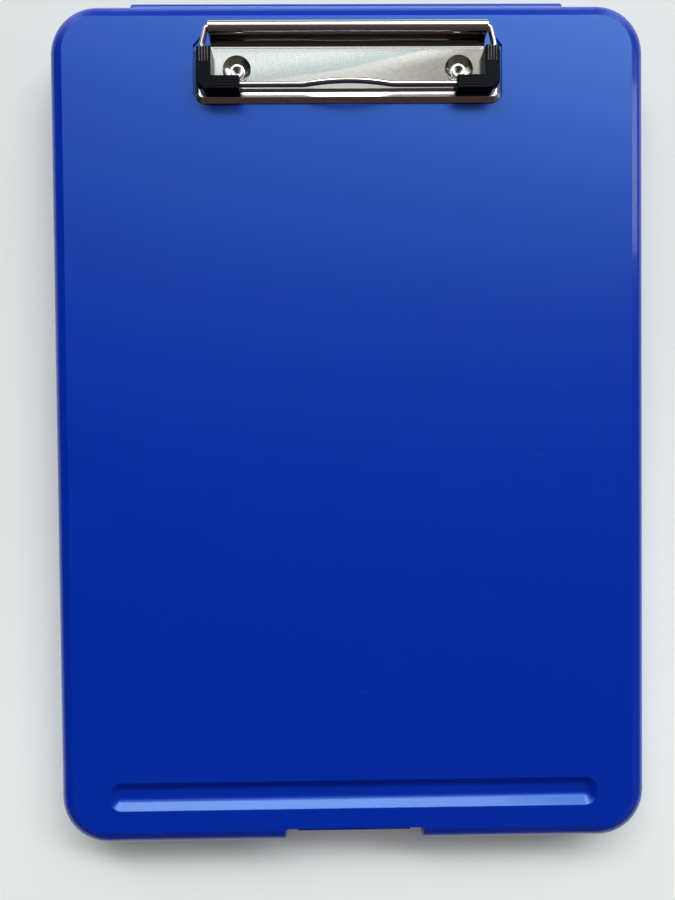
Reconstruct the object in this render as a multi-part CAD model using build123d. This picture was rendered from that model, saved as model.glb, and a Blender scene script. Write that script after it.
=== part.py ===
"""Storage clipboard: a shallow A4 case with a hinged lid, a wire clip, a pen trough and a front latch.

The case lies flat. X runs across it, Y runs from its front edge to its hinge and Z is up. The origin is
the centre of the tray's underside. All sizes are in millimetres.
"""

import math
import os

from build123d import *

# Case
case_width = 240.0
case_length = 340.0
corner_radius = 19.5
tray_height = 15.6
lid_height = 9.0
parting_gap = 0.4

# Base tray
tray_wall = 2.4
tray_floor = 2.0
tray_foot_radius = 3.0
tray_inner_radius = 1.5
lip_height = 3.0
lip_wall = 1.4
lip_clearance = 0.4
lip_root_depth = 4.0

# Lid
lid_wall = 2.0
lid_top = 2.2
edge_slope_width = 6.2
edge_slope_drop = 2.5
edge_upper_radius = 0.4
edge_lower_radius = 6.0
lid_inner_radius = 4.6

# Pen trough in the lid
trough_length = 198.3
trough_width = 11.5
trough_end_radius = 4.8
trough_depth = 2.8
trough_side_slope = 3.5
trough_bottom_radius = 3.0
trough_setback = 20.7
trough_wall = 1.8
trough_rim_radius = 0.5

# Hinge
hinge_length = 176.6
hinge_axis_setback = 1.3
knuckle_radius = 2.2
knuckle_clearance = 0.4
knuckle_end_radius = 1.0
end_knuckle_length = 27.0
knuckle_gap = 0.25
pin_radius = 1.0
pin_running_clearance = 0.1
pin_seat_clearance = 0.03
pin_end_depth = 1.2

# Front notch and latch
notch_width = 56.6
notch_depth = 6.75
tray_notch_depth = 2.4
notch_corner_radius = 1.4
notch_wall = 2.0
catch_width = 36.0
catch_depth = 0.9
catch_height = 1.4
catch_lift = 0.2
latch_width = 46.6
latch_thickness = 2.6
latch_front_setback = 2.5
latch_axis_depth = 1.6
latch_top_drop = 6.0
latch_hook_depth = 1.2
latch_hook_height = 1.1
latch_edge_radius = 0.6
latch_side_clearance = 0.5
latch_floor_clearance = 0.6
latch_axis_height = 7.0
trunnion_radius = 1.0
trunnion_length = 1.8
trunnion_clearance = 0.1
trunnion_end_clearance = 0.2
pocket_depth = 6.6
pocket_wall = 2.2
grip_rib_count = 3
grip_rib_pitch = 1.6
grip_rib_radius = 0.4
grip_rib_inset = 6.0

# Clip base plate
plate_width = 122.3
plate_sheet = 1.0
plate_corner_radius = 3.6
plate_edge_height = 0.3
plate_bend_radius = 0.4
outer_slope_width = 1.9
outer_slope_rise = 1.0
ledge_width = 1.9
inner_slope_width = 0.9
inner_slope_rise = 0.8
plate_depth = 20.8
recess_depth = 0.8
recess_clearance = 0.4
recess_back_gap = 4.5
recess_back_clearance = 0.75
recess_corner_gap = 1.9
recess_rim_radius = 0.25
neck_radius = 2.8
tube_inset = 6.95
tube_radius = 2.4
tube_axis_rise = 5.0
tube_opening_start = 203.0
tube_opening_end = 236.0
clip_axis_setback = 14.7

# Rivets
rivet_inset = 17.1
rivet_setback = 13.65
dimple_radius = 5.6
dimple_floor_radius = 2.9
rivet_flange_radius = 2.75
rivet_flange_height = 0.5
rivet_flange_rounding = 0.4
rivet_shank_radius = 2.45
rivet_bore_radius = 1.85
rivet_step_count = 3
rivet_step_depth = 0.9
rivet_step_inset = 0.45
rivet_hole_clearance = 0.05
rivet_roll_radius = 3.2
rivet_roll_height = 0.6
rivet_roll_rounding = 0.4
washer_radius = 4.5
washer_thickness = 0.8

# Wire bail
wire_radius = 1.1
root_offset = 1.05
arm_offset = 2.85
arm_slant_length = 6.4
bail_reach = 21.0
bail_drop = 2.0
bail_end_length = 24.0
bail_root_radius = 1.6
bail_arm_radius = 6.0
bail_corner_radius = 3.2
arch_width = 34.8
arch_slope = 16.5
arch_foot_radius = 8.0
arch_top_radius = 50.0

# Rubber corners
rubber_rest_gap = 0.25
rubber_outer_cover = 0.8
rubber_leg_width = 5.5
rubber_side_length = 16.85
rubber_front_length = 16.5
rubber_top_cover = 1.6
rubber_front_cover = 1.9
rubber_chamfer = 2.6
rubber_edge_radius = 0.5
foot_thickness = 1.9
foot_arch_width = 1.8
foot_arch_offset = 7.6
rib_count = 4
rib_pitch = 1.05
rib_groove_width = 0.45
rib_groove_depth = 0.35
side_rib_length = 6.0
front_rib_length = 6.6
front_rib_end = 2.0

# Tolerance for picking edges by place, and how far a cutter runs past what it cuts
touch = 0.01
overrun = 1.0

# Places worked out from the sizes above
lid_bottom_z = tray_height + parting_gap
lid_top_z = lid_bottom_z + lid_height
back_y = case_length / 2
front_y = -case_length / 2
hinge_y = back_y + hinge_axis_setback
hinge_z = lid_bottom_z
recess_floor_z = lid_top_z - recess_depth
ledge_z = recess_floor_z + plate_edge_height + outer_slope_rise + plate_sheet / 2
platform_z = ledge_z + inner_slope_rise
clip_axis_y = back_y - clip_axis_setback
clip_axis_z = platform_z + tube_axis_rise
neck_front_y = clip_axis_y - tube_radius
plate_back_y = neck_front_y - neck_radius
plate_front_y = plate_back_y - plate_depth
tube_half = plate_width / 2 - tube_inset
rivet_x = plate_width / 2 - rivet_inset
rivet_y = clip_axis_y - rivet_setback
dimple_top_z = recess_floor_z + plate_sheet
trough_y = front_y + trough_setback
notch_back_y = front_y + notch_depth
latch_front_y = front_y + latch_front_setback
latch_back_y = latch_front_y + latch_thickness
latch_top_z = lid_top_z - latch_top_drop
latch_bottom_z = tray_floor + latch_floor_clearance
latch_axis_y = latch_front_y + latch_axis_depth
pocket_width = latch_width + 2 * latch_side_clearance
arm_x = tube_half + arm_offset
bail_front_y = clip_axis_y - bail_reach
bail_front_z = clip_axis_z - bail_drop
rubber_top_z = bail_front_z + wire_radius + rubber_top_cover
rubber_bottom_z = platform_z + rubber_rest_gap
rubber_outer_x = arm_x + wire_radius + rubber_outer_cover
rubber_front_y = bail_front_y - wire_radius - rubber_front_cover


def edges_at(shape, axis, place):
    """The edges that lie whole at one place along an axis."""
    return shape.edges().filter_by_position(axis, place - touch, place + touch)


def slab(width, length, radius, bottom, height, centre_y=0.0):
    """A rounded rectangular block that stands on the height called bottom."""
    return Pos(0, centre_y, bottom) * extrude(RectangleRounded(width, length, radius), amount=height)


def block(x_range, y_range, z_range):
    """A plain block between two limits along each axis."""
    size = [high - low for low, high in (x_range, y_range, z_range)]
    centre = [(high + low) / 2 for low, high in (x_range, y_range, z_range)]
    return Pos(*centre) * Box(*size)


def prism_along_x(profile, x_from, x_to):
    """A profile drawn in Y and Z, extruded from one X to another."""
    return extrude(Plane.YZ.offset(x_from) * profile, amount=x_to - x_from)


def rod_along_x(radius, x_from, x_to, y, z):
    """A round rod along X."""
    return prism_along_x(Pos(y, z) * Circle(radius), x_from, x_to)


def frustum(width, length, radius, bottom, rise, inset, centre_y):
    """A rounded block whose sides lean in by inset over its rise."""
    lower = Pos(0, centre_y, bottom) * RectangleRounded(width, length, radius)
    upper = Pos(0, centre_y, bottom + rise) * RectangleRounded(
        width - 2 * inset, length - 2 * inset, radius - inset
    )
    return loft([lower, upper], ruled=True)


def mirrored(shape):
    """The same shape on the other side of the middle plane."""
    return mirror(shape, about=Plane.YZ)


def end_knuckle():
    """The tray's knuckle at one end of the hinge, with its rounded outer end."""
    outer_x = hinge_length / 2
    body = rod_along_x(knuckle_radius, outer_x - end_knuckle_length, outer_x, hinge_y, hinge_z)
    return fillet(edges_at(body, Axis.X, outer_x), knuckle_end_radius)


def hinge_groove(x_from, x_to):
    """The space that a knuckle needs in the wall beside it."""
    return rod_along_x(knuckle_radius + knuckle_clearance, x_from, x_to, hinge_y, hinge_z)


def base_tray():
    """The tray with its lip, hinge knuckles and latch pocket."""
    shell = slab(case_width, case_length, corner_radius, 0, tray_height)
    shell = fillet(shell.edges().group_by(Axis.Z)[0], tray_foot_radius)

    lip_offset = lid_wall + lip_clearance
    lip_bottom = tray_height - lip_root_depth
    lip = slab(
        case_width - 2 * lip_offset,
        case_length - 2 * lip_offset,
        corner_radius - lip_offset,
        lip_bottom,
        lip_root_depth + lip_height,
    )
    lip = chamfer(lip.edges().group_by(Axis.Z)[-1], lip_wall / 3)
    mouth_offset = lip_offset + lip_wall
    mouth = slab(
        case_width - 2 * mouth_offset,
        case_length - 2 * mouth_offset,
        corner_radius - mouth_offset,
        lip_bottom,
        lip_root_depth + lip_height,
    )
    cavity = slab(
        case_width - 2 * tray_wall,
        case_length - 2 * tray_wall,
        corner_radius - tray_wall,
        tray_floor,
        lip_bottom - tray_floor,
    )
    cavity = fillet(cavity.edges().group_by(Axis.Z)[0], tray_inner_radius)

    pocket_back_y = front_y + pocket_depth
    pocket_half = pocket_width / 2
    housing_half = notch_width / 2 + pocket_wall
    housing_back_y = pocket_back_y + pocket_wall
    lip_gap = block(
        (-notch_width / 2 - notch_wall - lip_clearance, notch_width / 2 + notch_wall + lip_clearance),
        (front_y - overrun, notch_back_y + notch_wall + lip_clearance),
        (tray_height, tray_height + lip_height + overrun),
    )
    housing = block(
        (-housing_half, housing_half),
        (front_y + tray_wall / 2, housing_back_y),
        (tray_floor / 2, tray_height),
    )
    pocket = block(
        (-pocket_half, pocket_half),
        (front_y - overrun, pocket_back_y),
        (tray_floor, tray_height + overrun),
    )
    bore_radius = trunnion_radius + trunnion_clearance
    bore_reach = latch_width / 2 + trunnion_length + trunnion_end_clearance
    bore = rod_along_x(bore_radius, -bore_reach, bore_reach, latch_axis_y, latch_axis_height)

    tray = shell + lip - mouth - cavity - lip_gap
    tray = tray + housing - front_notch(tray_notch_depth, 0, tray_height) - pocket - bore

    groove_half = hinge_length / 2 - end_knuckle_length
    tray -= hinge_groove(-groove_half, groove_half)
    knuckle = end_knuckle()
    tray = tray + knuckle + mirrored(knuckle)
    seat = pin_radius + pin_seat_clearance
    seat_reach = hinge_length / 2 + overrun
    return tray - rod_along_x(seat, -seat_reach, seat_reach, hinge_y, hinge_z)


def front_notch(depth, bottom, top):
    """A cutter for the notch in the front edge, between two heights."""
    plan = Pos(0, front_y) * RectangleRounded(notch_width, 2 * depth, notch_corner_radius)
    return Pos(0, 0, bottom - overrun) * extrude(plan, amount=top - bottom + 2 * overrun)


def clip_recess():
    """The shallow recess in the lid around the clip, with its two slanted back corners."""
    half = plate_width / 2 + recess_clearance
    recess_tube_half = tube_half + recess_back_clearance
    recess_front_y = plate_front_y - recess_clearance
    recess_back_y = clip_axis_y + recess_back_gap
    outline = Polygon(
        (-half, recess_front_y),
        (half, recess_front_y),
        (half, plate_back_y + recess_corner_gap),
        (recess_tube_half, recess_back_y),
        (-recess_tube_half, recess_back_y),
        (-half, plate_back_y + recess_corner_gap),
        align=None,
    )
    outline = fillet(outline.vertices().group_by(Axis.Y)[0], plate_corner_radius + recess_clearance)
    return Pos(0, 0, recess_floor_z) * extrude(outline, amount=recess_depth + overrun)


def lid_outer():
    """The lid's outside: an upright skirt that rounds over to a slope, and a flat top."""
    slope_bottom = lid_top_z - edge_slope_drop
    skirt = slab(case_width, case_length, corner_radius, lid_bottom_z, slope_bottom - lid_bottom_z)
    slope = frustum(
        case_width, case_length, corner_radius, slope_bottom, edge_slope_drop, edge_slope_width, 0
    )
    outer = fillet(edges_at(skirt + slope, Axis.Z, lid_top_z), edge_upper_radius)
    return fillet(edges_at(outer, Axis.Z, slope_bottom), edge_lower_radius)


def trough_solid(offset):
    """The pen trough's shape up to the lid's top, wider and deeper than the trough by offset."""
    upper = Pos(0, trough_y, lid_top_z) * RectangleRounded(
        trough_length + 2 * offset, trough_width + 2 * offset, trough_end_radius + offset
    )
    lower = Pos(0, trough_y, lid_top_z - trough_depth - offset) * RectangleRounded(
        trough_length + 2 * offset - 2 * trough_side_slope,
        trough_width + 2 * offset - 2 * trough_side_slope,
        trough_end_radius + offset - trough_side_slope,
    )
    body = loft([lower, upper], ruled=True)
    return fillet(body.edges().group_by(Axis.Z)[0], trough_bottom_radius)


def lid():
    """The lid with its recess, pen trough, notch, catch rib and hinge knuckle."""
    ceiling_z = lid_top_z - lid_top
    cavity = slab(
        case_width - 2 * lid_wall,
        case_length - 2 * lid_wall,
        corner_radius - lid_wall,
        lid_bottom_z - overrun,
        ceiling_z - lid_bottom_z + overrun,
    )
    cavity = fillet(cavity.edges().group_by(Axis.Z)[-1], lid_inner_radius)
    outer = lid_outer()
    shell = outer - cavity

    notch_half = notch_width / 2
    notch_frame = block(
        (-notch_half - notch_wall, notch_half + notch_wall),
        (front_y, notch_back_y + notch_wall),
        (lid_bottom_z, lid_top_z),
    )
    shell += notch_frame & outer
    shell -= front_notch(notch_depth, lid_bottom_z, lid_top_z)
    catch_bottom = lid_bottom_z + catch_lift
    shell += block(
        (-catch_width / 2, catch_width / 2),
        (notch_back_y - catch_depth, notch_back_y + notch_wall / 2),
        (catch_bottom, catch_bottom + catch_height),
    )

    shell += trough_solid(trough_wall)
    shell -= trough_solid(0)
    across = trough_width / 2 + touch
    along = trough_length / 2 + touch
    rim = edges_at(shell, Axis.Z, lid_top_z).filter_by_position(Axis.Y, trough_y - across, trough_y + across)
    rim = rim.filter_by_position(Axis.X, -along, along)
    shell = fillet(rim, trough_rim_radius)

    shell -= clip_recess()
    rim = edges_at(shell, Axis.Z, lid_top_z).filter_by_position(Axis.Y, plate_front_y - overrun, back_y)
    rim = rim.filter_by_position(Axis.X, -plate_width / 2 - overrun, plate_width / 2 + overrun)
    shell = fillet(rim, recess_rim_radius)
    hole = Cylinder(rivet_shank_radius + rivet_hole_clearance, 4 * lid_top)
    for side in (-1, 1):
        shell -= Pos(side * rivet_x, rivet_y, lid_top_z) * hole

    knuckle_half = hinge_length / 2 - end_knuckle_length - knuckle_gap
    groove = hinge_groove(knuckle_half, hinge_length / 2 + knuckle_gap)
    shell -= groove + mirrored(groove)
    shell += rod_along_x(knuckle_radius, -knuckle_half, knuckle_half, hinge_y, hinge_z)
    bore = pin_radius + pin_running_clearance
    bore_reach = knuckle_half + overrun
    return shell - rod_along_x(bore, -bore_reach, bore_reach, hinge_y, hinge_z)


def hinge_pin():
    """The steel rod through the knuckles."""
    half = hinge_length / 2 - pin_end_depth
    rod = rod_along_x(pin_radius, -half, half, hinge_y, hinge_z)
    return chamfer(rod.edges().filter_by(GeomType.CIRCLE), pin_radius / 4)


def latch():
    """The latch tab with its hook, trunnions and finger ribs."""
    half = latch_width / 2
    tab = block((-half, half), (latch_front_y, latch_back_y), (latch_bottom_z, latch_top_z))
    tab = fillet(tab.edges().group_by(Axis.Y)[0], latch_edge_radius)
    hook_half = catch_width / 2
    tab += block(
        (-hook_half, hook_half),
        (latch_back_y - latch_thickness / 2, latch_back_y + latch_hook_depth),
        (latch_top_z - latch_hook_height, latch_top_z - latch_edge_radius / 2),
    )
    reach = half + trunnion_length
    tab += rod_along_x(trunnion_radius, -reach, reach, latch_axis_y, latch_axis_height)
    rib_half = half - grip_rib_inset
    for row in range(grip_rib_count):
        rib_z = latch_bottom_z + (row + 1) * grip_rib_pitch
        tab += rod_along_x(grip_rib_radius, -rib_half, rib_half, latch_front_y, rib_z)
    return tab


def plate_envelope(sheet):
    """The plate's stepped shape, for its top, or a sheet's thickness inside it, for its underside."""
    width = plate_width - 2 * sheet
    length = 2 * (plate_depth - sheet)
    centre_y = plate_back_y
    radius = plate_corner_radius
    edge_bottom = recess_floor_z - 2 * plate_sheet
    edge_top = recess_floor_z + plate_edge_height - sheet
    ledge_top = ledge_z - sheet
    ledge_inset = outer_slope_width + ledge_width
    edge = slab(width, length, radius, edge_bottom, edge_top - edge_bottom, centre_y)
    outer = frustum(width, length, radius, edge_top, ledge_top - edge_top, outer_slope_width, centre_y)
    inner = frustum(
        width - 2 * ledge_inset,
        length - 2 * ledge_inset,
        radius,
        ledge_top,
        inner_slope_rise,
        inner_slope_width,
        centre_y,
    )
    envelope = edge + outer + inner
    for bend_z in (edge_top, ledge_top, ledge_top + inner_slope_rise):
        envelope = fillet(edges_at(envelope, Axis.Z, bend_z), plate_bend_radius)
    return envelope


def neck_and_tube():
    """The sheet behind the platform: it curves up and rolls over into the tube of the bail."""
    arc_centre = (plate_back_y, platform_z + neck_radius)
    ring = Pos(*arc_centre) * (Circle(neck_radius + plate_sheet) - Circle(neck_radius))
    quarter = Pos(arc_centre[0] + neck_radius, arc_centre[1] - neck_radius) * Rectangle(
        2 * neck_radius, 2 * neck_radius
    )
    neck = ring & quarter
    upright = Polygon(
        (neck_front_y, arc_centre[1]),
        (neck_front_y + plate_sheet, arc_centre[1]),
        (neck_front_y + plate_sheet, clip_axis_z),
        (neck_front_y, clip_axis_z),
        align=None,
    )
    tube = Circle(tube_radius) - Circle(tube_radius - plate_sheet)
    opening_reach = 2 * tube_radius
    start = math.radians(tube_opening_start)
    end = math.radians(tube_opening_end)
    opening = Polygon(
        (0, 0),
        (opening_reach * math.cos(start), opening_reach * math.sin(start)),
        (opening_reach * math.cos(end), opening_reach * math.sin(end)),
        align=None,
    )
    tube = Pos(clip_axis_y, clip_axis_z) * (tube - opening)
    return prism_along_x(neck + upright + tube, -tube_half, tube_half)


def dimple(x, sheet, bottom, top):
    """The round bowl pressed around a rivet, grown by a sheet's thickness, between two heights."""
    depth = platform_z - dimple_top_z
    centre_rise = (dimple_radius**2 - dimple_floor_radius**2 - depth**2) / (2 * depth)
    bowl_radius = math.hypot(dimple_radius, centre_rise)
    reach = dimple_radius + sheet + overrun
    ball = Pos(x, rivet_y, platform_z + centre_rise) * Sphere(bowl_radius + sheet)
    return ball & block((x - reach, x + reach), (rivet_y - reach, rivet_y + reach), (bottom, top))


def clip_base_plate():
    """The pressed plate with its stepped rim, dimples and rolled tube."""
    top = plate_envelope(0)
    underside = plate_envelope(plate_sheet)
    hole = Cylinder(rivet_shank_radius + rivet_hole_clearance, 4 * plate_sheet)
    for side in (-1, 1):
        x = side * rivet_x
        underside -= dimple(x, plate_sheet, recess_floor_z, platform_z - plate_sheet / 2)
        top -= dimple(x, 0, dimple_top_z, platform_z + overrun)
        top -= Pos(x, rivet_y, recess_floor_z) * hole
    half = plate_width / 2
    extent = block((-half, half), (plate_front_y, plate_back_y), (recess_floor_z, platform_z))
    return ((top - underside) & extent) + neck_and_tube()


def rivet(side):
    """One rivet with a stepped blind bore, from its flange in the dimple to its roll under the washer."""
    roll_top = lid_top_z - lid_top - washer_thickness
    top = dimple_top_z + rivet_flange_height
    bottom = roll_top - rivet_roll_height
    x = side * rivet_x
    flange = Cylinder(rivet_flange_radius, rivet_flange_height)
    flange = fillet(flange.edges().group_by(Axis.Z)[-1], rivet_flange_rounding)
    roll = Cylinder(rivet_roll_radius, rivet_roll_height)
    roll = fillet(roll.edges().group_by(Axis.Z)[0], rivet_roll_rounding)
    middle = Pos(x, rivet_y, (top + bottom) / 2)
    shank = middle * Cylinder(rivet_shank_radius, top - bottom - rivet_flange_height)
    flange = Pos(x, rivet_y, top - rivet_flange_height / 2) * flange
    roll = Pos(x, rivet_y, bottom + rivet_roll_height / 2) * roll
    body = flange + shank + roll
    for step in range(rivet_step_count):
        depth = (step + 1) * rivet_step_depth
        bore = Cylinder(rivet_bore_radius - step * rivet_step_inset, 2 * depth)
        body -= Pos(x, rivet_y, top) * bore
    return body


def rivet_washer(side):
    """The washer between the lid's underside and the rivet's roll."""
    disc = Cylinder(washer_radius, washer_thickness)
    disc = chamfer(disc.edges().group_by(Axis.Z)[0], washer_thickness / 4)
    disc -= Cylinder(rivet_shank_radius + rivet_hole_clearance, 2 * washer_thickness)
    return Pos(side * rivet_x, rivet_y, lid_top_z - lid_top - washer_thickness / 2) * disc


def wire_bail():
    """The bent wire: two ends in the tube, two splayed arms and a front bar with a finger arch."""
    slant_z = clip_axis_z - bail_drop * arm_slant_length / bail_reach
    apex_z = bail_front_z + arch_width / 2 * math.tan(math.radians(arch_slope))
    half_path = [
        (tube_half - bail_end_length, clip_axis_y, clip_axis_z),
        (tube_half + root_offset, clip_axis_y, clip_axis_z),
        (arm_x, clip_axis_y - arm_slant_length, slant_z),
        (arm_x, bail_front_y, bail_front_z),
        (arch_width / 2, bail_front_y, bail_front_z),
    ]
    bends = [bail_root_radius, bail_arm_radius, bail_corner_radius, arch_foot_radius]
    other_half = [(-x, y, z) for x, y, z in reversed(half_path)]
    apex = (0, bail_front_y, apex_z)
    path = FilletPolyline(*half_path, apex, *other_half, radius=[*bends, arch_top_radius, *bends[::-1]])
    section = Plane(origin=path @ 0, z_dir=path % 0) * Circle(wire_radius)
    return sweep(section, path=path)


def rubber_corner(wire):
    """The left rubber boot: an L-shaped block with ribs, a cut corner and two feet on the plate's ledge."""
    outer_x = -rubber_outer_x
    inner_x = outer_x + rubber_leg_width
    side_leg = block(
        (outer_x, inner_x),
        (rubber_front_y, rubber_front_y + rubber_side_length),
        (rubber_bottom_z, rubber_top_z),
    )
    front_leg = block(
        (outer_x, outer_x + rubber_front_length),
        (rubber_front_y, rubber_front_y + rubber_leg_width),
        (rubber_bottom_z, rubber_top_z),
    )
    boot = side_leg + front_leg
    upright = edges_at(boot, Axis.X, outer_x).filter_by(Axis.Z)
    boot = chamfer(upright.sort_by(Axis.Y)[0], rubber_chamfer)
    boot = fillet(boot.edges().filter_by(Axis.Z), rubber_edge_radius)
    boot = fillet(edges_at(boot, Axis.Z, rubber_top_z), rubber_edge_radius)

    foot_bottom = ledge_z + rubber_rest_gap
    foot_from = outer_x + rubber_chamfer
    foot_to = outer_x + rubber_front_length - rubber_edge_radius
    foot_back_y = rubber_front_y + foot_thickness
    foot = block((foot_from, foot_to), (rubber_front_y, foot_back_y), (foot_bottom, rubber_bottom_z))
    arch_x = outer_x + foot_arch_offset
    foot -= block(
        (arch_x - foot_arch_width / 2, arch_x + foot_arch_width / 2),
        (rubber_front_y, foot_back_y),
        (foot_bottom, rubber_bottom_z),
    )
    boot += foot

    groove_z = (rubber_top_z - rib_groove_depth, rubber_top_z)
    first = (rubber_leg_width - (rib_count - 1) * rib_pitch) / 2
    side_back_y = rubber_front_y + rubber_side_length
    front_rib_x = outer_x + rubber_front_length - front_rib_end
    for row in range(rib_count):
        across = first + row * rib_pitch
        low = across - rib_groove_width / 2
        high = across + rib_groove_width / 2
        boot -= block(
            (outer_x + low, outer_x + high),
            (side_back_y - side_rib_length, side_back_y),
            groove_z,
        )
        boot -= block(
            (front_rib_x - front_rib_length, front_rib_x),
            (rubber_front_y + low, rubber_front_y + high),
            groove_z,
        )
    return boot - wire


def build():
    """All pieces by name."""
    wire = wire_bail()
    boot = rubber_corner(wire)
    return {
        "base_tray": base_tray(),
        "lid": lid(),
        "hinge_pin": hinge_pin(),
        "latch": latch(),
        "clip_base_plate": clip_base_plate(),
        "wire_bail": wire,
        "rubber_corner_left": boot,
        "rubber_corner_right": mirrored(boot),
        "rivet_left": rivet(-1),
        "rivet_right": rivet(1),
        "rivet_washer_left": rivet_washer(-1),
        "rivet_washer_right": rivet_washer(1),
    }


os.makedirs("parts", exist_ok=True)
for name, shape in build().items():
    export_step(shape, f"parts/{name}.step")
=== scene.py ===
"""Looks of the storage clipboard: finishes for every piece, a studio around it and the camera.

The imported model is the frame. Everything is in metres, in the frame of the solids: X runs across the
case, Y from its front edge to its hinge and Z up, with the origin under the middle of the tray.
"""

import logging
import math
from dataclasses import dataclass, field
from enum import Enum
from typing import Any, ClassVar

import bmesh
import bpy
from mathutils import Euler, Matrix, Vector

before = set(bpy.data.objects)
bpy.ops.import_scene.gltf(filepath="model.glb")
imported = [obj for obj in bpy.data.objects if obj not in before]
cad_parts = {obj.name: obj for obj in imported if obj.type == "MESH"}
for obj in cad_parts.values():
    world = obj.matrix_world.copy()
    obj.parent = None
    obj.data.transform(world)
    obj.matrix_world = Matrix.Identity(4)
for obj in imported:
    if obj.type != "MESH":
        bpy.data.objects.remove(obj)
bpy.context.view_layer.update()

LOG = logging.getLogger("clipboard")
MM = 0.001

# Heights in the case that a finish depends on.
TOP_FACE = 25.0 * MM
GROOVE_FLOOR = 32.15 * MM

# How fine the noises are, in features per metre.
CLOUDS = 38.0
BENDS = 14.0
LINES = 4.0
RUBBED_PATCHES = 22.0
SPECK_CELLS = 260.0
SPECK_PATCHES = 60.0
HIGHLIGHT_PATCHES = 300.0
REFLECTION_LINE_WANDERS = 60.0
METAL_SPECKLES = 2000.0
FLOOR_PATCHES = 5.0

# Between which values of its noise each mark fades in.
RUB_FADE = (0.66, 0.74)
RUBBED_PATCH_FADE = (0.5, 0.62)
SPECK_FADE = (0.1, 0.02)
SPECK_PATCH_FADE = (0.6, 0.68)
HIGHLIGHT_PATCH_FADE = (0.25, 0.6)


class Slot(Enum):
    """The record's material slots."""

    CASE = "case_plastic"
    LATCH = "latch_plastic"
    SHEET = "plated_sheet"
    WIRE = "plated_wire"
    RIVET = "rivet_steel"
    PIN = "pin_steel"
    RUBBER = "corner_rubber"


class NodeSheet:
    """A node tree that is filled one node at a time."""

    def __init__(self, tree: bpy.types.NodeTree) -> None:
        """Take over an empty tree.

        Args:
            tree: the tree of a material, a world or a node group.
        """
        self.tree = tree

    def add(self, kind: str, inputs: dict[Any, Any] | None = None, **settings: Any) -> bpy.types.Node:
        """Add one node.

        Args:
            kind: the node's type, without the word ShaderNode in front.
            inputs: what goes into its sockets, by name or number: a value, or another node's output.
            settings: the node's own properties.

        Returns:
            The new node.
        """
        name = kind if kind.startswith("NodeGroup") else f"ShaderNode{kind}"
        node = self.tree.nodes.new(name)
        for key, value in settings.items():
            setattr(node, key, value)
        for key, value in (inputs or {}).items():
            self.feed(node.inputs[key], value)
        return node

    def feed(self, socket: bpy.types.NodeSocket, value: Any) -> None:
        """Put a value or another node's output into a socket.

        Args:
            socket: the socket that takes it.
            value: a number, a colour, a vector or an output socket.
        """
        if isinstance(value, bpy.types.NodeSocket):
            self.tree.links.new(value, socket)
        else:
            socket.default_value = value

    def math(self, operation: str, *values: Any, clamp: bool = False) -> bpy.types.NodeSocket:
        """Work out one number.

        Args:
            operation: the name of Blender's operation.
            values: its operands, as numbers or output sockets.
            clamp: whether the result stays between 0 and 1.

        Returns:
            The output socket with the result.
        """
        node = self.add("Math", dict(enumerate(values)), operation=operation, use_clamp=clamp)
        return node.outputs[0]

    def span(self, value: Any, low: float, high: float, to_low: float = 0.0, to_high: float = 1.0) -> Any:
        """Map a range smoothly to another and stay inside it.

        Args:
            value: the number that is mapped.
            low: where the range starts.
            high: where it ends.
            to_low: the result at its start.
            to_high: the result at its end.

        Returns:
            The output socket with the result.
        """
        node = self.add(
            "MapRange",
            {"Value": value, "From Min": low, "From Max": high, "To Min": to_low, "To Max": to_high},
            interpolation_type="SMOOTHSTEP",
        )
        return node.outputs["Result"]

    def blend(self, share: Any, first: Any, second: Any) -> bpy.types.NodeSocket:
        """Mix two colours.

        Args:
            share: how much of the second colour there is.
            first: the colour at 0.
            second: the colour at 1.

        Returns:
            The output socket with the mixed colour.
        """
        node = self.add("Mix", data_type="RGBA")
        self.feed(node.inputs["Factor"], share)
        colours = [s for s in node.inputs if s.type == "RGBA"]
        self.feed(colours[0], first)
        self.feed(colours[1], second)
        return next(s for s in node.outputs if s.type == "RGBA")


def rgba(colour: tuple[float, float, float]) -> tuple[float, float, float, float]:
    """The colour with full opacity."""
    return (*colour, 1.0)


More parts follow.
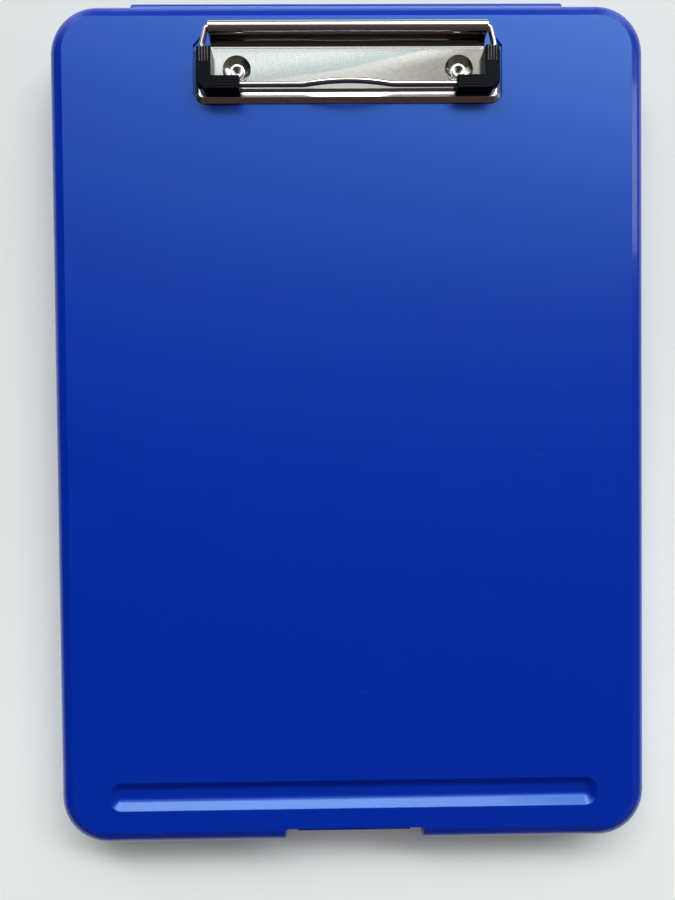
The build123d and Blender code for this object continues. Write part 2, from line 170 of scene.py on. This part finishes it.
@dataclass(frozen=True)
class Effects:
    """The node groups that several finishes share."""

    FINE_SHARE: ClassVar[float] = 0.7
    BEND: ClassVar[tuple[float, float, float]] = (0.03, 0.03, 0.0)
    STRETCH: ClassVar[tuple[float, float, float]] = (9.0, 160.0, 9.0)
    LEVEL_FADE: ClassVar[tuple[float, float]] = (0.2 * MM, 0.1 * MM)
    FACING_FADE: ClassVar[tuple[float, float]] = (0.8, 0.95)
    LEAST_HIGHLIGHT: ClassVar[float] = 0.4

    grain: bpy.types.NodeTree
    waves: bpy.types.NodeTree
    handling: bpy.types.NodeTree
    groove_highlight: bpy.types.NodeTree

    @classmethod
    def build(cls) -> "Effects":
        """Build each group once.

        Returns:
            The four groups.
        """
        return cls(cls._grain(), cls._waves(), cls._handling(), cls._groove_highlight())

    @staticmethod
    def _group(name: str, inputs: dict[str, float], outputs: list[str]) -> tuple[Any, NodeSheet, Any, Any]:
        """Start a group that reads a position and gives numbers.

        Args:
            name: the group's name.
            inputs: its numbers that can be set, with their usual values.
            outputs: the names of the numbers that it gives.

        Returns:
            The group, its sheet, its input node and its output node.
        """
        group = bpy.data.node_groups.new(name, "ShaderNodeTree")
        group.interface.new_socket("Position", in_out="INPUT", socket_type="NodeSocketVector")
        for label, value in inputs.items():
            socket = group.interface.new_socket(label, in_out="INPUT", socket_type="NodeSocketFloat")
            socket.default_value = value
        for label in outputs:
            group.interface.new_socket(label, in_out="OUTPUT", socket_type="NodeSocketFloat")
        sheet = NodeSheet(group)
        return group, sheet, sheet.add("NodeGroupInput"), sheet.add("NodeGroupOutput")

    @classmethod
    def _grain(cls) -> bpy.types.NodeTree:
        """The fine skin that a mould's eroded wall leaves on plastic and rubber.

        Returns:
            A group that gives a height and a mask of coarser cloudiness, both from 0 to 1.
        """
        group, sheet, given, result = cls._group(
            "mould_grain", {"Grains per metre": 2600.0}, ["Height", "Cloud"]
        )
        position = given.outputs["Position"]
        fine = sheet.add(
            "TexNoise",
            {"Vector": position, "Scale": given.outputs["Grains per metre"], "Detail": 2.0},
        )
        pits = sheet.add(
            "TexVoronoi",
            {"Vector": position, "Scale": given.outputs["Grains per metre"]},
            feature="SMOOTH_F1",
        )
        cloud = sheet.add("TexNoise", {"Vector": position, "Scale": CLOUDS, "Detail": 3.0})
        pitted = sheet.math("MULTIPLY", pits.outputs[0], 1 - cls.FINE_SHARE)
        height = sheet.math("MULTIPLY_ADD", fine.outputs[0], cls.FINE_SHARE, pitted)
        sheet.feed(result.inputs["Height"], height)
        sheet.feed(result.inputs["Cloud"], cloud.outputs[0])
        return group

    @classmethod
    def _waves(cls) -> bpy.types.NodeTree:
        """The slight unevenness of a pressed sheet or a large moulded wall.

        Returns:
            A group that gives a smooth height from 0 to 1.
        """
        group, sheet, given, result = cls._group("soft_waves", {"Waves per metre": 30.0}, ["Height"])
        noise = sheet.add(
            "TexNoise",
            {
                "Vector": given.outputs["Position"],
                "Scale": given.outputs["Waves per metre"],
                "Detail": 1.0,
                "Roughness": 0.4,
            },
        )
        sheet.feed(result.inputs["Height"], noise.outputs[0])
        return group

    @classmethod
    def _handling(cls) -> bpy.types.NodeTree:
        """Hairline rubs and specks from use.

        Returns:
            A group that gives a mask of thin rubs and a mask of specks.
        """
        group, sheet, given, result = cls._group(
            "handling_marks", {"Amount": 0.5}, ["Rubs", "Specks"]
        )
        position = given.outputs["Position"]
        bend = sheet.add("TexNoise", {"Vector": position, "Scale": BENDS, "Detail": 1.0})
        lean = sheet.add("VectorMath", {0: bend.outputs["Color"], 1: cls.BEND}, operation="MULTIPLY")
        place = sheet.add("VectorMath", {0: position, 1: lean.outputs[0]}, operation="ADD")
        stretched = sheet.add("Mapping", {"Vector": place.outputs[0], "Scale": cls.STRETCH})
        lines = sheet.add("TexNoise", {"Vector": stretched.outputs[0], "Scale": LINES, "Detail": 2.0})
        rubs = sheet.span(lines.outputs[0], *RUB_FADE)
        patches = sheet.add("TexNoise", {"Vector": position, "Scale": RUBBED_PATCHES})
        rubs = sheet.math("MULTIPLY", rubs, sheet.span(patches.outputs[0], *RUBBED_PATCH_FADE))
        dots = sheet.add("TexVoronoi", {"Vector": position, "Scale": SPECK_CELLS})
        specks = sheet.span(dots.outputs["Distance"], *SPECK_FADE)
        few = sheet.add("TexNoise", {"Vector": position, "Scale": SPECK_PATCHES})
        specks = sheet.math("MULTIPLY", specks, sheet.span(few.outputs[0], *SPECK_PATCH_FADE))
        amount = given.outputs["Amount"]
        sheet.feed(result.inputs["Rubs"], sheet.math("MULTIPLY", rubs, amount))
        sheet.feed(result.inputs["Specks"], sheet.math("MULTIPLY", specks, amount))
        return group

    @classmethod
    def _groove_highlight(cls) -> bpy.types.NodeTree:
        """A painted highlight: a pale, patchy tint on what faces up at one height, such as the floors of
        grooves.

        Returns:
            A group that gives a mask for the painted highlight.
        """
        group, sheet, given, result = cls._group("painted_groove_highlight", {"Height": 0.0, "Amount": 0.0}, ["Dust"])
        group.interface.new_socket("Normal", in_out="INPUT", socket_type="NodeSocketVector")
        position = given.outputs["Position"]
        level = sheet.add("SeparateXYZ", {0: position}).outputs["Z"]
        off = sheet.math("ABSOLUTE", sheet.math("SUBTRACT", level, given.outputs["Height"]))
        facing = sheet.add("SeparateXYZ", {0: given.outputs["Normal"]}).outputs["Z"]
        patches = sheet.add("TexNoise", {"Vector": position, "Scale": HIGHLIGHT_PATCHES, "Detail": 2.0})
        patchy = sheet.span(patches.outputs[0], *HIGHLIGHT_PATCH_FADE, cls.LEAST_HIGHLIGHT, 1.0)
        level_and_up = sheet.math(
            "MULTIPLY", sheet.span(off, *cls.LEVEL_FADE), sheet.span(facing, *cls.FACING_FADE)
        )
        groove_highlight = sheet.math("MULTIPLY", level_and_up, patchy)
        sheet.feed(result.inputs["Dust"], sheet.math("MULTIPLY", groove_highlight, given.outputs["Amount"]))
        return group


@dataclass(frozen=True)
class Finish:
    """What every finish has in common: a name, a colour and a roughness."""

    name: str
    colour: tuple[float, float, float]
    roughness: float

    def start(self) -> tuple[bpy.types.Material, NodeSheet, bpy.types.Node, bpy.types.Node]:
        """Start the material with its shader.

        Returns:
            The material, its sheet, its shader and the piece's own coordinates.
        """
        material = bpy.data.materials.new(self.name)
        material.use_nodes = True
        material.node_tree.nodes.clear()
        sheet = NodeSheet(material.node_tree)
        shader = sheet.add("BsdfPrincipled", {"Base Color": rgba(self.colour), "Roughness": self.roughness})
        sheet.add("OutputMaterial", {"Surface": shader.outputs[0]})
        return material, sheet, shader, sheet.add("TexCoord")


@dataclass(frozen=True)
class MouldedPlastic(Finish):
    """Moulded plastic or rubber: satin where its mould was etched, polished below that height."""

    polish: float = 0.36
    satin_from: float = -1.0
    satin_fade: float = 0.08 * MM
    grains_per_metre: float = 2600.0
    grain_depth: float = 0.00002
    cloud: float = 0.05
    wear: float = 0.06
    wear_colour: tuple[float, float, float] = (0.05, 0.12, 0.45)
    wear_roughness: float = 0.2
    sheen_tint: tuple[float, float, float] = (0.24, 0.62, 1.0)
    ior: float = 1.62
    gloss: float = 0.22
    gloss_roughness: float = 0.07
    highlight_at: float = -1.0
    highlight_share: float = 0.0
    highlight_colour: tuple[float, float, float] = (0.3, 0.31, 0.33)

    def material(self, effects: Effects) -> bpy.types.Material:
        """Build the material.

        Args:
            effects: the shared node groups.

        Returns:
            The material.
        """
        material, sheet, shader, own = self.start()
        position = own.outputs["Object"]
        shader.inputs["Specular Tint"].default_value = rgba(self.sheen_tint)
        shader.inputs["IOR"].default_value = self.ior
        shader.inputs["Coat Roughness"].default_value = self.gloss_roughness
        grain = sheet.add("Group", node_tree=effects.grain)
        sheet.feed(grain.inputs["Position"], position)
        sheet.feed(grain.inputs["Grains per metre"], self.grains_per_metre)
        marks = sheet.add("Group", node_tree=effects.handling)
        sheet.feed(marks.inputs["Position"], position)
        sheet.feed(marks.inputs["Amount"], self.wear)
        cloud = sheet.math("MULTIPLY_ADD", grain.outputs["Cloud"], 2 * self.cloud, 1 - self.cloud)
        tint = sheet.add("VectorMath", {0: self.colour, "Scale": cloud}, operation="SCALE")
        height = sheet.add("SeparateXYZ", {0: position}).outputs["Z"]
        satin = sheet.span(height, self.satin_from - self.satin_fade, self.satin_from)
        worn = sheet.math("MAXIMUM", marks.outputs["Rubs"], marks.outputs["Specks"])
        worn = sheet.math("MULTIPLY", worn, satin)
        groove_highlight = sheet.add("Group", node_tree=effects.groove_highlight)
        sheet.feed(groove_highlight.inputs["Position"], position)
        sheet.feed(groove_highlight.inputs["Normal"], own.outputs["Normal"])
        sheet.feed(groove_highlight.inputs["Height"], self.highlight_at)
        sheet.feed(groove_highlight.inputs["Amount"], self.highlight_share)
        colour = sheet.blend(worn, tint.outputs[0], rgba(self.wear_colour))
        # Painted highlight on the groove floors, where the finish asks for it.
        colour = sheet.blend(groove_highlight.outputs["Dust"], colour, rgba(self.highlight_colour))
        sheet.feed(shader.inputs["Base Color"], colour)
        rough = sheet.math("MULTIPLY_ADD", satin, self.roughness - self.polish, self.polish)
        rough = sheet.math("MULTIPLY_ADD", worn, self.wear_roughness, rough)
        sheet.feed(shader.inputs["Roughness"], rough)
        polished = sheet.math("MULTIPLY_ADD", satin, -self.gloss, self.gloss)
        sheet.feed(shader.inputs["Coat Weight"], polished)
        bump = sheet.add("Bump", {"Strength": 1.0, "Distance": self.grain_depth})
        sheet.feed(bump.inputs["Height"], sheet.math("MULTIPLY", grain.outputs["Height"], satin))
        sheet.feed(shader.inputs["Normal"], bump.outputs[0])
        return material


@dataclass(frozen=True)
class PlatedSteel(Finish):
    """Bright plated steel with the slight waviness of a pressed sheet."""

    haze: float = 0.1
    speckle: float = 0.1
    wave_depth: float = 0.00004
    waves_per_metre: float = 45.0
    wear: float = 0.3
    wear_roughness: float = 0.15

    def material(self, effects: Effects) -> bpy.types.Material:
        """Build the material.

        Args:
            effects: the shared node groups.

        Returns:
            The material.
        """
        material, sheet, shader, own = self.start()
        position = own.outputs["Object"]
        shader.inputs["Metallic"].default_value = 1.0
        speckle = sheet.add("Group", node_tree=effects.grain)
        sheet.feed(speckle.inputs["Position"], position)
        sheet.feed(speckle.inputs["Grains per metre"], METAL_SPECKLES)
        waves = sheet.add("Group", node_tree=effects.waves)
        sheet.feed(waves.inputs["Position"], position)
        sheet.feed(waves.inputs["Waves per metre"], self.waves_per_metre)
        marks = sheet.add("Group", node_tree=effects.handling)
        sheet.feed(marks.inputs["Position"], position)
        sheet.feed(marks.inputs["Amount"], self.wear)
        hazy = sheet.math("MULTIPLY", speckle.outputs["Height"], self.haze)
        rough = sheet.math("ADD", hazy, self.local_roughness(sheet, own))
        rough = sheet.math("MULTIPLY_ADD", marks.outputs["Rubs"], self.wear_roughness, rough)
        sheet.feed(shader.inputs["Roughness"], rough)
        grey = sheet.math("MULTIPLY_ADD", speckle.outputs["Height"], 2 * self.speckle, 1 - self.speckle)
        colour = sheet.add(
            "VectorMath", {0: self.local_colour(sheet, own), "Scale": grey}, operation="SCALE"
        )
        sheet.feed(shader.inputs["Base Color"], colour.outputs[0])
        relief = sheet.math("MULTIPLY", waves.outputs["Height"], self.wave_depth)
        bump = sheet.add("Bump", {"Strength": 1.0, "Distance": 1.0})
        sheet.feed(bump.inputs["Height"], sheet.math("ADD", relief, self.local_relief(sheet, own)))
        sheet.feed(shader.inputs["Normal"], bump.outputs[0])
        return material

    def local_colour(self, sheet: NodeSheet, own: bpy.types.Node) -> Any:
        """The metal's colour, which is the same all over."""
        return self.colour

    def local_roughness(self, sheet: NodeSheet, own: bpy.types.Node) -> Any:
        """The roughness before haze and rubs, which is the same all over."""
        return self.roughness

    def local_relief(self, sheet: NodeSheet, own: bpy.types.Node) -> Any:
        """The height in metres that is added to the waves, which is none."""
        return 0.0


@dataclass(frozen=True)
class PressedSheet(PlatedSteel):
    """The clip's plate: a platform with painted reflections on either side of a painted highlight streak, a
    painted dark reflection where it curves up to the tube, and a tilted ledge.
    """

    platform_z: float = 26.8 * MM
    platform_z_fade: tuple[float, float] = (0.12 * MM, 0.02 * MM)
    platform_back: float = 150.0 * MM
    platform_back_fade: float = 1.0 * MM
    painted_dark_reflection: tuple[float, float, float] = (0.2, 0.185, 0.18)
    painted_dark_reflection_fade: tuple[float, float] = (0.3 * MM, 0.7 * MM)
    tube_z: float = 31.5 * MM
    tube_z_fade: float = 0.5 * MM
    reflection_line_y: float = 141.6 * MM
    reflection_line_lean: float = 0.19
    reflection_line_bend: float = 1.2
    reflection_line_wander: float = 1.6 * MM
    reflection_line_width: float = 1.2 * MM
    bright_reflection_fade: tuple[float, float] = (0.5 * MM, 8.5 * MM)
    dull_reflection_fade: tuple[float, float] = (2.0 * MM, 38.0 * MM)
    streak_reflection_fade: tuple[float, float] = (0.2 * MM, -5.5 * MM)
    bright_reflection: tuple[float, float, float] = (0.49, 0.52, 0.505)
    cool_reflection: tuple[float, float, float] = (0.333, 0.374, 0.364)
    streak_reflection: tuple[float, float, float] = (0.44, 0.44, 0.415)
    warm_reflection: tuple[float, float, float] = (0.36, 0.35, 0.315)
    dull_reflection: tuple[float, float, float] = (0.21, 0.203, 0.182)
    ledge_front: float = 131.2 * MM
    ledge_front_fade: float = 0.1 * MM
    ledge_back: float = 133.1 * MM
    ledge_back_fade: float = 0.2 * MM
    ledge_fall: float = 0.2 * MM
    ledge_roughness: float = 0.26

    def local_colour(self, sheet: NodeSheet, own: bpy.types.Node) -> Any:
        """Paint reflections and a highlight streak onto the platform, and a dark reflection where it curves
        up to the tube.

        Args:
            sheet: the material's sheet.
            own: the plate's own coordinates.

        Returns:
            The output socket with the colour.
        """
        position = own.outputs["Object"]
        parts = sheet.add("SeparateXYZ", {0: position})
        x, y, z = (parts.outputs[axis] for axis in "XYZ")
        wander = sheet.add("TexNoise", {"Vector": position, "Scale": REFLECTION_LINE_WANDERS, "Detail": 2.0})
        line = sheet.math("MULTIPLY_ADD", x, self.reflection_line_bend, self.reflection_line_lean)
        line = sheet.math("MULTIPLY_ADD", line, x, self.reflection_line_y - self.reflection_line_wander / 2)
        line = sheet.math("MULTIPLY_ADD", wander.outputs[0], self.reflection_line_wander, line)
        across = sheet.math("SUBTRACT", y, line)
        # Painted reflections: cool to bright behind the line, a painted highlight streak just in front of
        # it, and warm to dull further in front.
        behind = sheet.blend(sheet.span(across, *self.bright_reflection_fade), rgba(self.cool_reflection), rgba(self.bright_reflection))
        before = sheet.blend(sheet.span(x, *self.dull_reflection_fade), rgba(self.warm_reflection), rgba(self.dull_reflection))
        before = sheet.blend(sheet.span(across, *self.streak_reflection_fade), rgba(self.streak_reflection), before)
        painted_reflection = sheet.blend(sheet.span(across, 0.0, self.reflection_line_width), before, behind)
        # Only the flat top of the platform gets the painted reflections.
        below, nearly = self.platform_z_fade
        back = self.platform_back
        flat = sheet.math(
            "MULTIPLY",
            sheet.span(z, self.platform_z - below, self.platform_z - nearly),
            sheet.span(y, back, back - self.platform_back_fade),
        )
        # Painted dark reflection where the sheet curves up into the tube.
        near, far = self.painted_dark_reflection_fade
        dark_reflection_mask = sheet.math(
            "MULTIPLY",
            sheet.span(y, back + near, back + far),
            sheet.span(z, self.tube_z, self.tube_z - self.tube_z_fade),
        )
        return sheet.blend(dark_reflection_mask, sheet.blend(flat, rgba(self.colour), painted_reflection), rgba(self.painted_dark_reflection))

    def local_roughness(self, sheet: NodeSheet, own: bpy.types.Node) -> Any:
        """Make the front ledge hazier.

        Args:
            sheet: the material's sheet.
            own: the plate's own coordinates.

        Returns:
            The output socket with the roughness.
        """
        y = sheet.add("SeparateXYZ", {0: own.outputs["Object"]}).outputs["Y"]
        front, fade = self.ledge_front, self.ledge_front_fade
        ledge = sheet.math(
            "MULTIPLY",
            sheet.span(y, front - fade, front + fade),
            sheet.span(y, self.ledge_back, self.ledge_back - self.ledge_back_fade),
        )
        return sheet.math("MULTIPLY_ADD", ledge, self.ledge_roughness - self.roughness, self.roughness)

    def local_relief(self, sheet: NodeSheet, own: bpy.types.Node) -> Any:
        """Let the front ledge fall slightly towards the platform.

        Args:
            sheet: the material's sheet.
            own: the plate's own coordinates.

        Returns:
            The output socket with the height in metres.
        """
        y = sheet.add("SeparateXYZ", {0: own.outputs["Object"]}).outputs["Y"]
        fall = sheet.add(
            "MapRange",
            {
                "Value": y,
                "From Min": self.ledge_front,
                "From Max": self.ledge_back,
                "To Min": self.ledge_fall,
                "To Max": 0.0,
            },
        )
        return fall.outputs["Result"]


@dataclass(frozen=True)
class BentWire(PlatedSteel):
    """The bail's wire, with painted shade on the side that faces the front."""

    painted_front_shade: tuple[float, float, float] = (0.26, 0.25, 0.24)
    painted_front_shade_facing: tuple[float, float] = (-0.55, -0.85)

    def local_colour(self, sheet: NodeSheet, own: bpy.types.Node) -> Any:
        """Paint shade on the side of the wire that faces the front.

        Args:
            sheet: the material's sheet.
            own: the wire's own coordinates.

        Returns:
            The output socket with the colour.
        """
        # Painted shade: darker where the wire's surface faces the front.
        front = sheet.add("SeparateXYZ", {0: own.outputs["Normal"]}).outputs["Y"]
        return sheet.blend(sheet.span(front, *self.painted_front_shade_facing), rgba(self.colour), rgba(self.painted_front_shade))


CASE_BLUE = (0.0001, 0.0225, 0.39)
RUBBER_BLACK = (0.0015, 0.002, 0.003)
NICKEL = (0.70, 0.69, 0.66)
DRAWN_STEEL = (0.5, 0.5, 0.49)


@dataclass
class Wardrobe:
    """All finishes by the slot that they dress."""

    effects: Effects
    materials: dict[Slot, bpy.types.Material] = field(default_factory=dict)

    def build(self) -> None:
        """Build one material for each slot."""
        finishes = {
            Slot.CASE: MouldedPlastic("case_blue", CASE_BLUE, 0.35, polish=0.28, satin_from=TOP_FACE),
            Slot.LATCH: MouldedPlastic("latch_blue", CASE_BLUE, 0.37),
            Slot.SHEET: PressedSheet("plated_sheet", NICKEL, 0.1, speckle=0.22),
            Slot.WIRE: BentWire("plated_wire", NICKEL, 0.08, haze=0.04, wave_depth=0.00001),
            Slot.RIVET: PlatedSteel("rivet_nickel", NICKEL, 0.1, haze=0.05, wave_depth=0.00001),
            Slot.PIN: PlatedSteel("drawn_steel", DRAWN_STEEL, 0.3, haze=0.1),
            Slot.RUBBER: MouldedPlastic(
                "corner_black",
                RUBBER_BLACK,
                0.40,
                wear=0.2,
                wear_colour=(0.045, 0.05, 0.06),
                cloud=0.1,
                sheen_tint=(0.16, 0.2, 0.26),
                ior=1.25,
                # Painted highlight: pale groove floors stand in for the light that the ribs catch.
                highlight_at=GROOVE_FLOOR,
                highlight_share=0.6,
            ),
        }
        for slot, finish in finishes.items():
            self.materials[slot] = finish.material(self.effects)

    def dress(self, node: str, slot: Slot) -> None:
        """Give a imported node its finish.

        Args:
            node: the node's name.
            slot: the slot whose finish it gets.
        """
        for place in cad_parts[node].material_slots:
            place.material = self.materials[slot]
        LOG.info("%s wears %s", node, slot.value)


@dataclass
class Case:
    """The tray, the lid, their hinge pin and the latch."""

    wardrobe: Wardrobe

    def dress(self) -> None:
        """Dress the moulded pieces and the pin."""
        self.wardrobe.dress("base_tray", Slot.CASE)
        self.wardrobe.dress("lid", Slot.CASE)
        self.wardrobe.dress("latch", Slot.LATCH)
        self.wardrobe.dress("hinge_pin", Slot.PIN)


@dataclass
class PaperClip:
    """The clip's plate, wire, rubber corners and rivets."""

    wardrobe: Wardrobe

    def dress(self) -> None:
        """Dress the clip's pieces."""
        self.wardrobe.dress("clip_base_plate", Slot.SHEET)
        self.wardrobe.dress("wire_bail", Slot.WIRE)
        for side in ("left", "right"):
            self.wardrobe.dress(f"rubber_corner_{side}", Slot.RUBBER)
            self.wardrobe.dress(f"rivet_{side}", Slot.RIVET)
            self.wardrobe.dress(f"rivet_washer_{side}", Slot.RIVET)


@dataclass
class Studio:
    """The floor, the light and the camera."""

    floor_size: float = 6.0
    floor_height: float = 0.03 * MM
    floor_colour: tuple[float, float, float] = (0.80, 0.835, 0.83)
    floor_roughness: float = 0.7
    mottle_fade: tuple[float, float] = (0.3, 0.7)
    mottle_shades: tuple[float, float] = (0.98, 1.0)
    painted_light_fade: tuple[float, float] = (0.15, -0.2)
    painted_light_shades: tuple[float, float] = (0.94, 1.2)
    lens: float = 27.74
    sensor_width: float = 36.0
    clip_start: float = 0.01
    camera_place: tuple[float, float, float] = (-0.00872, -0.00411, 0.30423)
    camera_turn: tuple[float, float, float] = (-1.047, -0.656, -0.543)
    ceiling: tuple[float, float, float] = (1.4, 1.43, 1.43)
    wall: tuple[float, float, float] = (1.9, 1.92, 1.92)
    skirting: tuple[float, float, float] = (0.03, 0.03, 0.032)
    dark: tuple[float, float, float] = (0.088, 0.071, 0.053)
    black: tuple[float, float, float] = (0.066, 0.04, 0.036)
    left: tuple[float, float, float] = (0.015, 0.015, 0.016)
    right: tuple[float, float, float] = (0.1, 0.1, 0.1)
    ceiling_fade: tuple[float, float] = (0.1, 0.36)
    wall_fade: tuple[float, float] = (0.5, 0.65)
    skirting_fade: tuple[float, float] = (0.84, 0.92)
    black_fade: tuple[float, float] = (-0.55, -0.75)
    left_fade: tuple[float, float] = (-0.35, -0.8)
    right_fade: tuple[float, float] = (0.4, 0.8)
    background: tuple[float, float, float] = (0.66, 0.70, 0.72)
    window_place: tuple[float, float, float] = (0.36, 1.38, 1.56)
    window_size: tuple[float, float] = (3.0, 0.4)
    window_power: float = 36.0
    side_place: tuple[float, float, float] = (1.18, 0.5, 0.44)
    side_size: tuple[float, float] = (0.3, 0.1)
    side_power: float = 0.6

    def build(self) -> None:
        """Set up everything around the object."""
        self._floor()
        self._world()
        self._lamps()
        self._camera()
        bpy.context.scene.view_settings.view_transform = "Standard"
        LOG.info("the studio stands")

    def _floor(self) -> None:
        """Lay the pale floor, a hair above the underside so that the two never share one plane."""
        mesh = bpy.data.meshes.new("floor")
        sheet = bmesh.new()
        bmesh.ops.create_grid(sheet, x_segments=1, y_segments=1, size=self.floor_size / 2)
        sheet.to_mesh(mesh)
        sheet.free()
        floor = bpy.data.objects.new("floor", mesh)
        floor.location = (0.0, 0.0, self.floor_height)
        bpy.context.scene.collection.objects.link(floor)
        material = bpy.data.materials.new("pale_floor")
        material.use_nodes = True
        nodes = NodeSheet(material.node_tree)
        nodes.tree.nodes.clear()
        place = nodes.add("TexCoord").outputs["Object"]
        noise = nodes.add("TexNoise", {"Vector": place, "Scale": FLOOR_PATCHES, "Detail": 3.0})
        mottle = nodes.span(noise.outputs[0], *self.mottle_fade, *self.mottle_shades)
        # Painted light: the floor's colour brightens towards the front, where the lamps light it less.
        along = nodes.add("SeparateXYZ", {0: place}).outputs["Y"]
        mottle_and_painted_light = nodes.math("MULTIPLY", mottle, nodes.span(along, *self.painted_light_fade, *self.painted_light_shades))
        colour = nodes.add("VectorMath", {0: self.floor_colour, "Scale": mottle_and_painted_light}, operation="SCALE")
        shader = nodes.add(
            "BsdfPrincipled", {"Base Color": colour.outputs[0], "Roughness": self.floor_roughness}
        )
        nodes.add("OutputMaterial", {"Surface": shader.outputs[0]})
        mesh.materials.append(material)

    def _world(self) -> None:
        """Fill the room: a dark front and sides, and a ceiling that brightens towards the window's wall."""
        world = bpy.data.worlds.new("studio")
        bpy.context.scene.world = world
        world.use_nodes = True
        nodes = NodeSheet(world.node_tree)
        nodes.tree.nodes.clear()
        direction = nodes.add("TexCoord").outputs["Generated"]
        parts = nodes.add("SeparateXYZ", {0: direction})
        across, along = parts.outputs["X"], parts.outputs["Y"]
        light = rgba(self.dark)
        for axis, fade, colour in (
            (along, self.ceiling_fade, self.ceiling),
            (along, self.wall_fade, self.wall),
            (along, self.skirting_fade, self.skirting),
            (along, self.black_fade, self.black),
            (across, self.left_fade, self.left),
            (across, self.right_fade, self.right),
        ):
            light = nodes.blend(nodes.span(axis, *fade), light, rgba(colour))
        lit = nodes.add("Background", {"Color": light})
        plain = nodes.add("Background", {"Color": rgba(self.background)})
        path = nodes.add("LightPath")
        mixed = nodes.add(
            "MixShader", {0: path.outputs["Is Camera Ray"], 1: lit.outputs[0], 2: plain.outputs[0]}
        )
        nodes.add("OutputWorld", {"Surface": mixed.outputs[0]})

    def _lamps(self) -> None:
        """Hang the wide window behind the hinge and the narrow one on the right."""
        self._window("wide_window", self.window_place, self.window_size, self.window_power)
        self._window("side_window", self.side_place, self.side_size, self.side_power)

    @staticmethod
    def _window(
        name: str, place: tuple[float, float, float], size: tuple[float, float], power: float
    ) -> None:
        """Hang one soft lamp that faces the case.

        Args:
            name: its name.
            place: its middle.
            size: its width and height.
            power: its power in watts.
        """
        data = bpy.data.lights.new(name, "AREA")
        data.shape = "RECTANGLE"
        data.size, data.size_y = size
        data.energy = power
        window = bpy.data.objects.new(name, data)
        window.location = place
        window.rotation_euler = Vector(place).to_track_quat("Z", "Y").to_euler()
        bpy.context.scene.collection.objects.link(window)

    def _camera(self) -> None:
        """Put the camera where the photograph was taken from."""
        data = bpy.data.cameras.new("camera")
        data.lens = self.lens
        data.sensor_width = self.sensor_width
        data.clip_start = self.clip_start
        camera = bpy.data.objects.new("camera", data)
        camera.location = self.camera_place
        camera.rotation_euler = Euler([math.radians(a) for a in self.camera_turn], "XYZ")
        bpy.context.scene.collection.objects.link(camera)
        bpy.context.scene.camera = camera


def main() -> None:
    """Build the studio, then dress each sub-assembly."""
    logging.basicConfig(level=logging.INFO, format="%(name)s: %(message)s")
    Studio().build()
    wardrobe = Wardrobe(Effects.build())
    wardrobe.build()
    Case(wardrobe).dress()
    PaperClip(wardrobe).dress()


if __name__ == "__main__":
    main()
